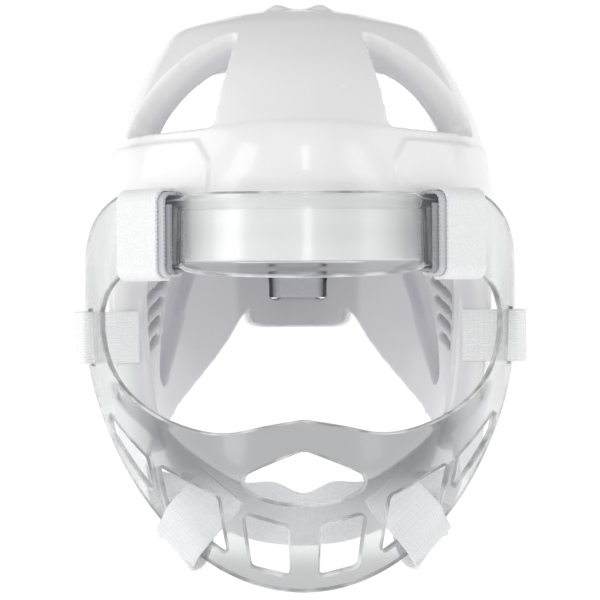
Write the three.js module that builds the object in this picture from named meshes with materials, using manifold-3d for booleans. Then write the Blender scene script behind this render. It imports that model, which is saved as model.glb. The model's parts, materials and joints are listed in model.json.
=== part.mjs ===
// Karate head guard with a clear face mask, resting on its chin and its two rear wings.
// Sizes are in millimetres and angles in degrees. Everything is drawn in the head's own frame,
// x to the wearer's left, -y forwards, z up from eye height, and is then laid back onto the floor.
import * as THREE from 'three';
import { mergeVertices } from 'three/addons/utils/BufferGeometryUtils.js';
import Module from 'manifold-3d';

const wasm = await Module();
wasm.setup();

// Driving dimensions
const foamWall = 17;
const maskWall = 2.8;
const webbing = { width: 25, thick: 1.4 };
const chinBand = { width: 27, thick: 1.6 };
const seatGap = 0.4;
const restTilt = 26.8;
const chinBottom = { y: -104, z: -131 };
const cutReach = 14;

// Foam guard, outer skin. half is the half width, front and back reach from the head's middle;
// wall and drop lead from the outer skin to the inner one, sideways and downwards.
const guardLevels = [
  { z: -112, half: 76, front: 88, back: 92, wall: foamWall, drop: 0 },
  { z: -75, half: 86, front: 95, back: 100, wall: foamWall, drop: 0 },
  { z: -40, half: 92.5, front: 99, back: 106, wall: foamWall, drop: 0 },
  { z: -10, half: 95, front: 100, back: 110, wall: foamWall, drop: 0 },
  { z: 20, half: 95.5, front: 100, back: 112, wall: foamWall, drop: 0 },
  { z: 46, half: 95.2, front: 100.5, back: 112, wall: foamWall, drop: 0 },
  { z: 58, half: 94, front: 102.5, back: 111, wall: foamWall, drop: 0.5 },
  { z: 77, half: 90.8, front: 100, back: 107, wall: 16, drop: 2 },
  { z: 92, half: 85.8, front: 92.5, back: 102, wall: 15.5, drop: 4.5 },
  { z: 106, half: 79.1, front: 83, back: 94, wall: 15, drop: 7 },
  { z: 114, half: 74.5, front: 75.3, back: 88.5, wall: 14, drop: 9 },
  { z: 122, half: 69.6, front: 65.6, back: 82, wall: 13, drop: 11 },
  { z: 130, half: 64.4, front: 53.3, back: 72.5, wall: 11.5, drop: 13.4 },
  { z: 134, half: 58.4, front: 45.8, back: 65, wall: 10, drop: 14.6 },
  { z: 139, half: 40.5, front: 34.3, back: 51, wall: 7, drop: 16 },
  { z: 143, half: 21.5, front: 18, back: 27, wall: 3, drop: 17 },
];
const crownTop = { z: 144.5, drop: 17 };
const guardColumns = 48;

// Clear mask, outer face, without the brow bar's bulge.
const maskLevels = [
  { z: -140, half: 69, front: 98 },
  { z: -131, half: 74, front: 104 },
  { z: -118, half: 81, front: 111 },
  { z: -103, half: 87.3, front: 116 },
  { z: -86, half: 93.3, front: 120.5 },
  { z: -68, half: 98.5, front: 122.5 },
  { z: -50, half: 102.7, front: 121.5 },
  { z: -30, half: 105.4, front: 118.5 },
  { z: -10, half: 106.5, front: 114.5 },
  { z: 8, half: 106.8, front: 110.5 },
  { z: 12, half: 106.8, front: 109.7 },
  { z: 17, half: 106.8, front: 108.8 },
  { z: 41, half: 105.7, front: 107 },
  { z: 46, half: 105.3, front: 107 },
  { z: 58, half: 104.3, front: 107 },
];
const browBulge = { height: 3.6, fullTo: 30, goneAt: 34, low: 12, lowFull: 17, highFull: 41, high: 46 };
const armEnd = 97;
const maskFacet = 6;

// Edges of the mask by angle from the nose: outline, eye opening, nose hole.
const maskTopEdge = [
  { angle: 0, z: 48.5 }, { angle: 29.5, z: 48.5 }, { angle: 31.5, z: 46.4 }, { angle: 48, z: 46.4 },
  { angle: 50.5, z: 49.8 }, { angle: 54, z: 49.6 }, { angle: 60, z: 46.5 }, { angle: 66, z: 42 },
  { angle: 72, z: 36.5 }, { angle: 78, z: 29.5 }, { angle: 84, z: 22 }, { angle: 90, z: 14 },
  { angle: 94, z: 7 }, { angle: 97, z: -1 },
];
const maskBottomEdge = [
  { angle: 0, z: -131 }, { angle: 10, z: -129.8 }, { angle: 21, z: -126 }, { angle: 34, z: -117 },
  { angle: 48.5, z: -100 }, { angle: 56, z: -87 }, { angle: 63.5, z: -70.5 }, { angle: 73, z: -46 },
  { angle: 80, z: -32 }, { angle: 90, z: -24 }, { angle: 97, z: -13 },
];
const eyeTopEdge = [
  { angle: 0, z: 10 }, { angle: 18, z: 11 }, { angle: 29.5, z: 12.6 }, { angle: 31.5, z: 14.9 },
  { angle: 48, z: 14.9 }, { angle: 50.5, z: 12.4 }, { angle: 54, z: 10 }, { angle: 60, z: 2.5 },
  { angle: 63, z: -5 },
];
const eyeBottomEdge = [
  { angle: 0, z: -52 }, { angle: 10, z: -55 }, { angle: 18, z: -58 }, { angle: 24, z: -58.3 },
  { angle: 32, z: -56 }, { angle: 41, z: -51 }, { angle: 51, z: -42 }, { angle: 57, z: -33.5 },
  { angle: 61, z: -24 }, { angle: 63, z: -14.5 },
];
const noseTopEdge = [
  { angle: 0, z: -66 }, { angle: 1.5, z: -66.8 }, { angle: 8, z: -71.2 }, { angle: 14, z: -75.6 },
  { angle: 15.8, z: -77.6 }, { angle: 16.4, z: -80 },
];
const noseBottomEdge = [
  { angle: 0, z: -89.5 }, { angle: 5, z: -89.1 }, { angle: 10, z: -87.6 }, { angle: 14, z: -85 },
  { angle: 15.8, z: -83 }, { angle: 16.4, z: -81 },
];
// Jaw windows on one side: from and to are angles, the heights belong to those two ends.
const jawWindows = [
  { from: 4.9, to: 17.3, topFrom: -100, topTo: -95, bottomFrom: -122.5, bottomTo: -118.5 },
  { from: 24.7, to: 43.5, topFrom: -87.8, topTo: -74.8, bottomFrom: -113.5, bottomTo: -95 },
  { from: 47.5, to: 64, topFrom: -72, topTo: -52, bottomFrom: -88, bottomTo: -62 },
];
const windowCorner = 1.6;
const cheekSlot = { from: 69.6, to: 73.8, bottom: -32, top: -3 };

// Openings of the foam guard.
const faceSide = 71;
const browLine = { z: 17, straightTo: 54, fall: 15 };
const guardBottomEdge = [
  { angle: 71, z: -70 }, { angle: 74, z: -74 }, { angle: 82, z: -75 }, { angle: 92, z: -73 },
  { angle: 106, z: -66 }, { angle: 118, z: -58 }, { angle: 128, z: -50.5 }, { angle: 140, z: -38.5 },
  { angle: 150, z: -25 }, { angle: 155, z: -15.5 }, { angle: 159.6, z: -5 },
];
const tongue = { side: 159.6, slit: 0.9, slitTop: 48, bottom: -15, cornerTo: 165, cornerRise: 8 };
const vent = { sill: 78.5, rise: 47.5, from: 26.5, to: 66, square: 1.45 };
const rearVent = { sill: 74, rise: 60, from: 154, to: 100, square: 2.4 };
const earPocket = { middle: 124.5, reach: 15, z: 0, slope: 2.7, tall: 17, depth: 8 };
const earSlots = {
  from: 98, half: 1.9, slope: 0.55,
  ends: [{ z: -19, to: 111.5 }, { z: -11, to: 114 }, { z: -3, to: 116.8 }, { z: 5, to: 119.5 }],
};
const strapSlot = { middle: 170.8, half: 2.2, bottom: 0.6, top: 27.4 };

// Raised work on the foam.
const templePad = { from: 26.5, to: 112, bottom: 53, top: 73, corner: 7, proud: 1.7 };
const crownRib = { apart: 21, width: 8, round: 1.6, height: 2.6, from: -24, to: 46, sunk: 7 };

const radians = THREE.MathUtils.degToRad;
const sin = (degrees) => Math.sin(radians(degrees));
const cos = (degrees) => Math.cos(radians(degrees));

// A smooth function through a short table: column as a function of key.
function through(table, key, column) {
  const xs = table.map((row) => row[key]);
  const ys = table.map((row) => row[column]);
  const last = xs.length - 1;
  const slopes = xs.map((_, i) => {
    const a = Math.max(i - 1, 0);
    const b = Math.min(i + 1, last);
    return (ys[b] - ys[a]) / (xs[b] - xs[a]);
  });
  return (x) => {
    if (x <= xs[0]) return ys[0] + slopes[0] * (x - xs[0]);
    if (x >= xs[last]) return ys[last] + slopes[last] * (x - xs[last]);
    const i = xs.findIndex((value) => value > x) - 1;
    const step = xs[i + 1] - xs[i];
    const t = (x - xs[i]) / step;
    const blend = t * t * (3 - 2 * t);
    const pull = slopes[i] * t * (1 - t) ** 2 - slopes[i + 1] * t * t * (1 - t);
    return ys[i] + (ys[i + 1] - ys[i]) * blend + pull * step;
  };
}

const mirrored = (table) => {
  const curve = through(table, 'angle', 'z');
  return (angle) => curve(Math.abs(angle));
};
const flat = (z) => () => z;
const ramp = (x, none, full) => THREE.MathUtils.clamp((x - none) / (full - none), 0, 1);

// A closed solid from its corner points and triangles.
function solidFrom(points, triangles) {
  const geometry = new THREE.BufferGeometry();
  const coordinates = points.flatMap((p) => p.toArray());
  geometry.setAttribute('position', new THREE.Float32BufferAttribute(coordinates, 3));
  geometry.setIndex(triangles);
  const merged = mergeVertices(geometry, 1e-3);
  const make = (index) => new wasm.Manifold(new wasm.Mesh({
    numProp: 3,
    vertProperties: merged.attributes.position.array,
    triVerts: Uint32Array.from(index),
  }));
  const index = Array.from(merged.index.array);
  const solid = make(index);
  return solid.volume() > 0 ? solid : make(index.reverse());
}

function geometryOf(solid) {
  const mesh = solid.getMesh();
  const geometry = new THREE.BufferGeometry();
  geometry.setAttribute('position', new THREE.BufferAttribute(mesh.vertProperties, 3));
  geometry.setIndex(new THREE.BufferAttribute(mesh.triVerts, 1));
  return geometry;
}

// Two triangles for a four-sided face; flip takes the other diagonal, so that both sides mirror.
const quad = (a, b, c, d, flip = false) => (flip ? [b, c, d, b, d, a] : [a, b, c, a, c, d]);

// A block bent onto a skin: columns are angles, low and high give its heights at each angle,
// rows the number of steps between them or a list of heights; inner and outer are offsets.
function bentBlock(skin, { columns, low, high, rows = 1, inner, outer }) {
  const shares = Array.isArray(rows) ? rows : Array.from({ length: rows + 1 }, (_, i) => i / rows);
  const points = [];
  for (const offset of [inner, outer]) {
    for (const angle of columns) {
      for (const share of shares) {
        const z = Array.isArray(rows) ? share : low(angle) + (high(angle) - low(angle)) * share;
        points.push(skin(angle, z, offset));
      }
    }
  }
  const tall = shares.length;
  const at = (side, column, row) => (side * columns.length + column) * tall + row;
  const triangles = [];
  const top = tall - 1;
  for (let c = 0; c + 1 < columns.length; c++) {
    const flip = sin((columns[c] + columns[c + 1]) / 2) < 0;
    for (let r = 0; r + 1 < tall; r++) {
      triangles.push(...quad(at(1, c, r), at(1, c + 1, r), at(1, c + 1, r + 1), at(1, c, r + 1), flip));
      triangles.push(...quad(at(0, c, r), at(0, c, r + 1), at(0, c + 1, r + 1), at(0, c + 1, r), flip));
    }
    triangles.push(...quad(at(0, c, 0), at(0, c + 1, 0), at(1, c + 1, 0), at(1, c, 0), flip));
    triangles.push(...quad(at(0, c, top), at(1, c, top), at(1, c + 1, top), at(0, c + 1, top), flip));
  }
  const end = columns.length - 1;
  for (let r = 0; r + 1 < tall; r++) {
    triangles.push(...quad(at(0, 0, r), at(1, 0, r), at(1, 0, r + 1), at(0, 0, r + 1)));
    triangles.push(...quad(at(0, end, r), at(0, end, r + 1), at(1, end, r + 1), at(1, end, r)));
  }
  return solidFrom(points, triangles);
}

const steps = (from, to, count) => (
  Array.from({ length: count + 1 }, (_, i) => from + ((to - from) * i) / count)
);

// Column angles for a block: the given breaks, and between them the angles of the skin's own facets.
function columnsOf(breaks, facet) {
  const ends = [Math.min(...breaks), Math.max(...breaks)];
  const between = steps(0, 360, 360 / facet).flatMap((angle) => [-angle, angle]);
  const near = (angle) => breaks.some((other) => Math.abs(other - angle) < facet / 5);
  const kept = between.filter((angle) => angle > ends[0] && angle < ends[1] && !near(angle));
  return [...new Set([...breaks, ...kept])].sort((a, b) => a - b);
}
const bothSides = (angles) => angles.flatMap((angle) => [-angle, angle]);

// A flat strap swept along its stations. Each has a place, across (the way its width runs) and the
// reach of its two edges, up and down; lanes is the number of strips across the width.
function ribbon(stations, thick, lanes = 1) {
  const points = [];
  stations.forEach(({ place, across, up, down }, i) => {
    const before = stations[Math.max(i - 1, 0)].place;
    const after = stations[Math.min(i + 1, stations.length - 1)].place;
    const along = after.clone().sub(before).normalize();
    const wide = across.clone().addScaledVector(along, -across.dot(along)).normalize();
    const halfThick = along.clone().cross(wide).multiplyScalar(thick / 2);
    const lane = steps(up, -down, lanes).map((reach) => place.clone().addScaledVector(wide, reach));
    points.push(...lane.map((p) => p.clone().sub(halfThick)));
    points.push(...lane.reverse().map((p) => p.clone().add(halfThick)));
  });
  const around = 2 * lanes + 2;
  const triangles = [];
  for (let i = 0; i + 1 < stations.length; i++) {
    const flip = stations[i].place.x + stations[i + 1].place.x < 0;
    for (let k = 0; k < around; k++) {
      const next = (k + 1) % around;
      const foot = i * around;
      triangles.push(...quad(foot + k, foot + next, foot + around + next, foot + around + k, flip));
    }
  }
  const end = around * (stations.length - 1);
  for (let k = 0; k < lanes; k++) {
    const far = around - 1 - k;
    triangles.push(...quad(k, far, far - 1, k + 1));
    triangles.push(...quad(end + k, end + k + 1, end + far - 1, end + far));
  }
  return solidFrom(points, triangles);
}

// Foam guard
const guardZ = guardLevels.map((row) => row.z);
const guardFacet = 360 / guardColumns;
const guardShape = {};
for (const column of ['half', 'front', 'back', 'wall', 'drop']) {
  guardShape[column] = through(guardLevels, 'z', column);
}

// A point of the guard at an angle from the face and a height; offset is 0 on the outer skin and
// minus the foam's wall on the inner one.
function guardSkin(angle, z, offset = 0) {
  const share = -offset / foamWall;
  const inwards = guardShape.wall(z) * share;
  const depth = (cos(angle) > 0 ? guardShape.front(z) : guardShape.back(z)) - inwards;
  return new THREE.Vector3(
    (guardShape.half(z) - inwards) * sin(angle),
    -depth * cos(angle),
    z - guardShape.drop(z) * share,
  );
}

function guardShell() {
  const points = [];
  const rings = guardZ.length;
  for (const offset of [-foamWall, 0]) {
    for (let c = 0; c < guardColumns; c++) {
      for (const z of guardZ) points.push(guardSkin((360 * c) / guardColumns, z, offset));
    }
  }
  const innerPole = points.length;
  points.push(new THREE.Vector3(0, 0, crownTop.z - crownTop.drop), new THREE.Vector3(0, 0, crownTop.z));
  const at = (side, column, row) => (side * guardColumns + (column % guardColumns)) * rings + row;
  const triangles = [];
  for (let c = 0; c < guardColumns; c++) {
    const flip = 2 * c >= guardColumns;
    for (let r = 0; r + 1 < rings; r++) {
      triangles.push(...quad(at(1, c, r), at(1, c + 1, r), at(1, c + 1, r + 1), at(1, c, r + 1), flip));
      triangles.push(...quad(at(0, c, r), at(0, c, r + 1), at(0, c + 1, r + 1), at(0, c + 1, r), flip));
    }
    triangles.push(at(1, c, rings - 1), at(1, c + 1, rings - 1), innerPole + 1);
    triangles.push(at(0, c + 1, rings - 1), at(0, c, rings - 1), innerPole);
    triangles.push(...quad(at(0, c, 0), at(0, c + 1, 0), at(1, c + 1, 0), at(1, c, 0), flip));
  }
  return solidFrom(points, triangles);
}

const throughFoam = { inner: -foamWall - cutReach, outer: cutReach };
const belowAll = guardZ[0] - 10;

// The face opening: straight across the brow, round at its upper corners, upright at the cheeks.
function faceOpening() {
  const high = (angle) => {
    const turn = ramp(Math.abs(angle), browLine.straightTo, faceSide);
    return browLine.z - browLine.fall * (1 - Math.sqrt(1 - turn * turn));
  };
  return bentBlock(guardSkin, {
    columns: columnsOf(bothSides([browLine.straightTo, 60, 65, 69, faceSide]), guardFacet),
    low: flat(belowAll), high, ...throughFoam,
  });
}

// What lies under the lower edge of the wings and of the rear tongue.
function underEdge() {
  const wing = mirrored(guardBottomEdge);
  const tongueEdge = (angle) => {
    const turn = 1 - ramp(angle, tongue.side, tongue.cornerTo);
    return tongue.bottom + tongue.cornerRise * (1 - Math.sqrt(1 - turn * turn));
  };
  const high = (angle) => {
    const fromFront = Math.min(angle, 360 - angle);
    return fromFront < tongue.side ? wing(fromFront) : tongueEdge(fromFront);
  };
  const { side, cornerTo } = tongue;
  const oneSide = [faceSide - 4, faceSide, 72.5, 75, 154, 157, side - 0.01, side, 161, 163, cornerTo];
  const columns = columnsOf([...oneSide, ...oneSide.map((angle) => 360 - angle)], guardFacet);
  return bentBlock(guardSkin, { columns, low: flat(belowAll), high, ...throughFoam });
}

// A crown vent with a level sill, its top falling in a rounded arch from one side to the other.
function crownVent({ sill, rise, from, to, square }, side) {
  const high = (angle) => {
    const turn = Math.min(Math.abs((Math.abs(angle) - from) / (to - from)), 1);
    return sill + 6 + (rise - 6) * (1 - turn ** square) ** (1 / square);
  };
  const breaks = [0, 0.76, 0.88, 0.96, 1].map((share) => side * (from + (to - from) * share));
  const columns = columnsOf(breaks, guardFacet);
  return bentBlock(guardSkin, { columns, low: flat(sill), high, rows: 3, ...throughFoam });
}

// Upper or lower edge of a slanting oval, by angle.
function ovalHeight({ middle, reach, z, slope, tall }, sign) {
  return (angle) => {
    const aside = Math.abs(angle) - middle;
    const turn = Math.min(Math.abs(aside) / reach, 1);
    return z + slope * aside + sign * Math.max(tall * Math.sqrt(1 - turn * turn), 1);
  };
}

function earCuts(side) {
  const shares = [-1, -0.93, -0.75, 0.75, 0.93, 1];
  const pocketBreaks = shares.map((share) => side * (earPocket.middle + earPocket.reach * share));
  const pocket = bentBlock(guardSkin, {
    columns: columnsOf(pocketBreaks, guardFacet),
    low: ovalHeight(earPocket, -1), high: ovalHeight(earPocket, 1), rows: 3,
    inner: -foamWall - cutReach, outer: -foamWall + earPocket.depth,
  });
  const { from, half, slope } = earSlots;
  const slots = earSlots.ends.map(({ z, to }) => {
    const slotBreaks = [from, from + 2, to - 2, to].map((angle) => side * angle);
    const middle = (angle) => z + slope * (Math.abs(angle) - from - 10.5);
    const round = (angle) => {
      const end = Math.min(Math.abs(angle) - from, to - Math.abs(angle));
      return half * (0.35 + 0.65 * ramp(end, 0, 2));
    };
    return bentBlock(guardSkin, {
      columns: columnsOf(slotBreaks, guardFacet),
      low: (angle) => middle(angle) - round(angle), high: (angle) => middle(angle) + round(angle),
      ...throughFoam,
    });
  });
  return [pocket, ...slots];
}

function rearCuts(side) {
  const upright = (middle, half, bottom, top) => bentBlock(guardSkin, {
    columns: [side * (middle - half), side * (middle + half)],
    low: flat(bottom), high: flat(top), ...throughFoam,
  });
  return [
    upright(tongue.side, tongue.slit, belowAll, tongue.slitTop),
    upright(strapSlot.middle, strapSlot.half, strapSlot.bottom, strapSlot.top),
  ];
}

// A temple pad: a low raised panel with round front corners, part of the brow band.
function templeRelief(side) {
  const { from, to, bottom, top, corner } = templePad;
  const cornerAngle = 5;
  const inset = (angle) => {
    const turn = 1 - ramp(Math.abs(angle), from, from + cornerAngle);
    return corner * (1 - Math.sqrt(1 - turn * turn));
  };
  const breaks = [from, from + 0.6, from + 2, from + cornerAngle, to].map((angle) => side * angle);
  return bentBlock(guardSkin, {
    columns: columnsOf(breaks, guardFacet),
    low: flat(bottom), high: (angle) => top - inset(angle), rows: 2, inner: -4, outer: templePad.proud,
  });
}

// A solid from one of the stock geometries, already in place.
function solidOf(geometry) {
  const bare = new THREE.BufferGeometry();
  bare.setAttribute('position', geometry.attributes.position);
  bare.setIndex(geometry.index);
  const merged = mergeVertices(bare, 1e-3);
  return new wasm.Manifold(new wasm.Mesh({
    numProp: 3,
    vertProperties: merged.attributes.position.array,
    triVerts: Uint32Array.from(merged.index.array),
  }));
}

// A crown rib: a low rounded bar that follows the top of the head from front to back.
function crownRelief(side) {
  const { apart, width, round, height, from, to, sunk } = crownRib;
  const nearTop = guardLevels.slice(-4);
  const crownLine = through([
    ...nearTop.map(({ front, z }) => ({ y: -front, z })), { y: 0, z: crownTop.z },
    ...nearTop.map(({ back, z }) => ({ y: back, z })).reverse(),
  ], 'y', 'z');
  const along = steps(from, to, 14);
  const rise = (y) => {
    const share = ramp(y, from, to);
    return (height - round) * Math.sqrt(4 * share * (1 - share));
  };
  const outline = new THREE.Shape([
    ...along.map((y) => new THREE.Vector2(y, crownLine(y) + rise(y))),
    ...along.map((y) => new THREE.Vector2(y, crownLine(y) - sunk)).reverse(),
  ]);
  const bar = new THREE.ExtrudeGeometry(outline, {
    depth: width - 2 * round, bevelThickness: round, bevelSize: round, bevelSegments: 2, curveSegments: 1,
  });
  bar.translate(0, 0, round - width / 2);
  bar.rotateX(Math.PI / 2);
  bar.rotateZ(Math.PI / 2);
  bar.translate((side * apart) / 2, 0, 0);
  return solidOf(bar);
}

// Everything below the floor plane, which runs from the chin back under the wings.
function underFloor() {
  const deep = 120;
  const slab = new THREE.BoxGeometry(400, 500, deep);
  slab.translate(0, 0, -deep / 2);
  slab.rotateX(radians(restTilt));
  slab.translate(0, chinBottom.y, chinBottom.z);
  return solidOf(slab);
}

function foamGuard() {
  let solid = guardShell();
  for (const side of [-1, 1]) {
    solid = solid.add(templeRelief(side)).add(crownRelief(side));
  }
  const cuts = [faceOpening(), underEdge(), underFloor()];
  for (const side of [-1, 1]) {
    cuts.push(crownVent(vent, side), crownVent(rearVent, side), ...earCuts(side), ...rearCuts(side));
  }
  for (const cut of cuts) solid = solid.subtract(cut);
  return solid;
}

// Face mask
const maskHalf = through(maskLevels, 'z', 'half');
const maskFront = through(maskLevels, 'z', 'front');

function maskFace(angle, z, bulge = 0) {
  return new THREE.Vector3((maskHalf(z) + bulge) * sin(angle), -(maskFront(z) + bulge) * cos(angle), z);
}

// A point of the mask; offset is 0 on the outer face and runs along that face's normal.
function maskSkin(angle, z, offset = 0, bulge = () => 0) {
  const nudge = 0.5;
  const face = (a, b) => maskFace(a, b, bulge(a, b));
  const acrossFace = face(angle + nudge, z).sub(face(angle - nudge, z));
  const upFace = face(angle, z + nudge).sub(face(angle, z - nudge));
  return face(angle, z).addScaledVector(acrossFace.cross(upFace).normalize(), offset);
}

function browBulgeAt(angle, z) {
  const { height, fullTo, goneAt, low, lowFull, highFull, high } = browBulge;
  return height * ramp(Math.abs(angle), goneAt, fullTo) * ramp(z, low, lowFull) * ramp(z, high, highFull);
}
const maskSkinWithBulge = (angle, z, offset) => maskSkin(angle, z, offset, browBulgeAt);

const throughMask = { inner: -maskWall - cutReach, outer: cutReach };

// A jaw window with rounded corners, on one side of the mask.
function jawWindow({ from, to, topFrom, topTo, bottomFrom, bottomTo }, side) {
  const cornerAngle = windowCorner * 0.6;
  const share = (angle) => (Math.abs(angle) - from) / (to - from);
  const inset = (angle) => {
    const turn = 1 - ramp(Math.min(Math.abs(angle) - from, to - Math.abs(angle)), 0, cornerAngle);
    return windowCorner * (1 - Math.sqrt(1 - turn * turn));
  };
  const fromEnd = [0, cornerAngle / 3, cornerAngle];
  const breaks = fromEnd.flatMap((reach) => [side * (from + reach), side * (to - reach)]);
  return bentBlock(maskSkin, {
    columns: columnsOf(breaks, maskFacet),
    low: (angle) => bottomFrom + (bottomTo - bottomFrom) * share(angle) + inset(angle),
    high: (angle) => topFrom + (topTo - topFrom) * share(angle) - inset(angle),
    ...throughMask,
  });
}

function cutOf(columns, low, high, rows = 2) {
  return bentBlock(maskSkin, { columns, low, high, rows, ...throughMask });
}

function faceMask() {
  const columns = columnsOf(bothSides([browBulge.fullTo, browBulge.goneAt, armEnd]), maskFacet);
  const rows = maskLevels.map((row) => row.z);
  let solid = bentBlock(maskSkinWithBulge, { columns, rows, inner: -maskWall, outer: 0 });
  const neck = [29.5, 31.5, 48, 50.5];
  const around = columnsOf(bothSides([...neck, 54, 94, armEnd + 1]), maskFacet);
  const eyeColumns = columnsOf(bothSides([...neck, 57, 61.5, 63]), maskFacet);
  const noseColumns = columnsOf(bothSides([1.5, 14, 15.8, 16.4]), maskFacet);
  const cuts = [
    cutOf(around, mirrored(maskTopEdge), flat(75)),
    cutOf(around, flat(-160), mirrored(maskBottomEdge)),
    cutOf(eyeColumns, mirrored(eyeBottomEdge), mirrored(eyeTopEdge)),
    cutOf(noseColumns, mirrored(noseBottomEdge), mirrored(noseTopEdge), 1),
    underFloor(),
  ];
  for (const side of [-1, 1]) {
    cuts.push(...jawWindows.map((row) => jawWindow(row, side)));
    const slotColumns = [side * cheekSlot.from, side * cheekSlot.to];
    cuts.push(cutOf(slotColumns, flat(cheekSlot.bottom), flat(cheekSlot.top), 1));
  }
  for (const cut of cuts) solid = solid.subtract(cut);
  return solid;
}

// Straps
const upright = new THREE.Vector3(0, 0, 1);
const smooth = (points, count) => (
  new THREE.CatmullRomCurve3(points, false, 'centripetal').getPoints(count)
);
const sized = (places, across, width) => (
  places.map((place) => ({ place, across, up: width / 2, down: width / 2 }))
);

// A brow strap: webbing wound round the neck of the brow bar, in a rounded oblong that tightens.
const browLoop = {
  angle: 39.8, z: 30.5, offset: -0.7, deep: 7.1, tall: 19.4, corner: 5, pitch: 1.75, quarters: 6,
};

function browStrap(side) {
  const { angle, z, offset, deep, tall, corner, pitch, quarters } = browLoop;
  const middle = maskSkin(side * angle, z, offset);
  const outwards = maskSkin(side * angle, z, offset + 1).sub(middle).setZ(0).normalize();
  const across = new THREE.Vector3(-outwards.y, outwards.x, 0);
  const stepsPerCorner = 4;
  const places = [];
  for (let quarter = 0; quarter < quarters; quarter++) {
    for (let step = 0; step <= stepsPerCorner; step++) {
      const shrink = (pitch * (quarter + step / stepsPerCorner)) / 4;
      const round = corner - shrink;
      const theta = ((quarter + step / stepsPerCorner) * Math.PI) / 2;
      const behind = [1, -1, -1, 1][quarter % 4] * (deep - corner) + round * Math.cos(theta);
      const below = [1, 1, -1, -1][quarter % 4] * (tall - corner) + round * Math.sin(theta);
      places.push(middle.clone().addScaledVector(outwards, -behind).addScaledVector(upright, -below));
    }
  }
  places.unshift(places[0].clone().addScaledVector(upright, 1.4 * (tall - corner)));
  places.push(places.at(-1).clone().addScaledVector(upright, 1.6 * (tall - corner)));
  return ribbon(sized(places, across, webbing.width), webbing.thick);
}

// A cheek strap: from the foam's front edge out through the arm's slot, folded back along the arm.
const cheekHeight = (cheekSlot.bottom + cheekSlot.top) / 2;
const cheekFold = [
  { angle: 71.9, offset: -1.4 }, { angle: 71.4, offset: 2.4 }, { angle: 72.6, offset: 4.6 },
  { angle: 76, offset: 5.4 }, { angle: 82, offset: 5 }, { angle: 88, offset: 3.4 },
  { angle: 93, offset: 1.3 },
];

function cheekStrap(side) {
  const edgeIn = guardSkin(side * faceSide, cheekHeight, -foamWall + 0.6);
  const edgeOut = guardSkin(side * faceSide, cheekHeight, 0);
  const run = edgeOut.clone().sub(edgeIn).normalize();
  const forwards = new THREE.Vector3(-Math.abs(run.y) * side, -Math.abs(run.x), 0);
  const clear = webbing.thick / 2 + seatGap + 0.4;
  const along = [0.3, 0.65, 1].map((share) => edgeIn.clone().lerp(edgeOut, share));
  const places = along.map((point) => point.addScaledVector(forwards, clear));
  places.push(...cheekFold.map((row) => maskSkin(side * row.angle, cheekHeight, row.offset)));
  return ribbon(sized(smooth(places, 30), upright, webbing.width), webbing.thick);
}

// A jaw strap: from the cheek flap, round the mask's lower margin, in through the middle jaw window.
const jawInside = [
  { angle: 83, z: -52, offset: -10.8, twist: 0 }, { angle: 75, z: -62, offset: -9.8, twist: 0 },
  { angle: 62, z: -77.5, offset: -12.6, twist: -6 }, { angle: 50, z: -98, offset: -15.8, twist: -16 },
  { angle: 43.6, z: -110.4, offset: -6.2, twist: -12 },
];
const jawOutside = [
  { angle: 42, z: -113.2, offset: 0, twist: -6 }, { angle: 41, z: -110.6, offset: 4.2, twist: 0 },
  { angle: 37.2, z: -104.4, offset: 3.8, twist: 0 }, { angle: 34.2, z: -99.4, offset: 3, twist: 13 },
  { angle: 32.4, z: -96.3, offset: 0.4, twist: 25 }, { angle: 31, z: -93.8, offset: -2.6, twist: 24 },
  { angle: 29.6, z: -91.3, offset: -6.3, twist: 18 }, { angle: 28.2, z: -88.3, offset: -8.4, twist: 11 },
  { angle: 26.2, z: -84, offset: -9.2, twist: 4 },
];

function jawStrap(side) {
  const route = [...jawInside, ...jawOutside];
  const onMask = ({ angle, z, offset }) => maskSkin(side * angle, z, offset);
  const outwardsAt = (row) => onMask({ ...row, offset: 1 }).sub(onMask({ ...row, offset: 0 }));
  const places = route.map(onMask);
  const acrossFlap = places[0].clone().sub(places[1]).cross(outwardsAt(jawInside[0])).normalize();
  const axis = onMask(jawOutside[3]).sub(onMask(jawOutside[1])).normalize();
  const acrossMargin = axis.clone().cross(outwardsAt(jawOutside[2])).normalize();
  const twist = through(route.map((row, index) => ({ index, twist: row.twist })), 'index', 'twist');
  const count = 52;
  const stations = smooth(places, count).map((place, i) => {
    const index = (i / count) * (places.length - 1);
    const across = acrossFlap.clone().lerp(acrossMargin, ramp(index, 0.4, 2.8));
    across.applyAxisAngle(axis, -side * radians(twist(index)));
    return { place, across, up: webbing.width / 2, down: webbing.width / 2 };
  });
  return ribbon(stations, webbing.thick, 2);
}

// The chin strap: a slack band from flap to flap, its upper edge rippled over the chin.
const chinRoute = [
  { x: 69.6, y: -6, z: -54, lean: 0.6 },
  { x: 66.8, y: -21, z: -62, lean: 0.6 },
  { x: 56.2, y: -42.2, z: -79, lean: 0.45 },
  { x: 40, y: -61.5, z: -92, lean: 0.3 },
  { x: 20, y: -74, z: -98, lean: 0.18 },
  { x: 0, y: -76.5, z: -99.5, lean: 0.14 },
];
const chinRipple = { height: 2.6, pitch: 33, reach: 34 };

function chinStrap() {
  const rows = [...chinRoute.map((row) => ({ ...row, x: -row.x })), ...chinRoute.slice(0, -1).reverse()];
  const places = smooth(rows.map(({ x, y, z }) => new THREE.Vector3(x, y, z)), 40);
  const lean = through([...chinRoute].reverse(), 'x', 'lean');
  const stations = places.map((place) => {
    const fade = Math.exp(-((place.x / chinRipple.reach) ** 2));
    const ripple = -chinRipple.height * Math.cos((2 * Math.PI * place.x) / chinRipple.pitch) * fade;
    const across = new THREE.Vector3(0, -lean(Math.abs(place.x)), 1).normalize();
    return { place, across, up: chinBand.width / 2 + ripple, down: chinBand.width / 2 };
  });
  return ribbon(stations, chinBand.thick);
}

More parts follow.
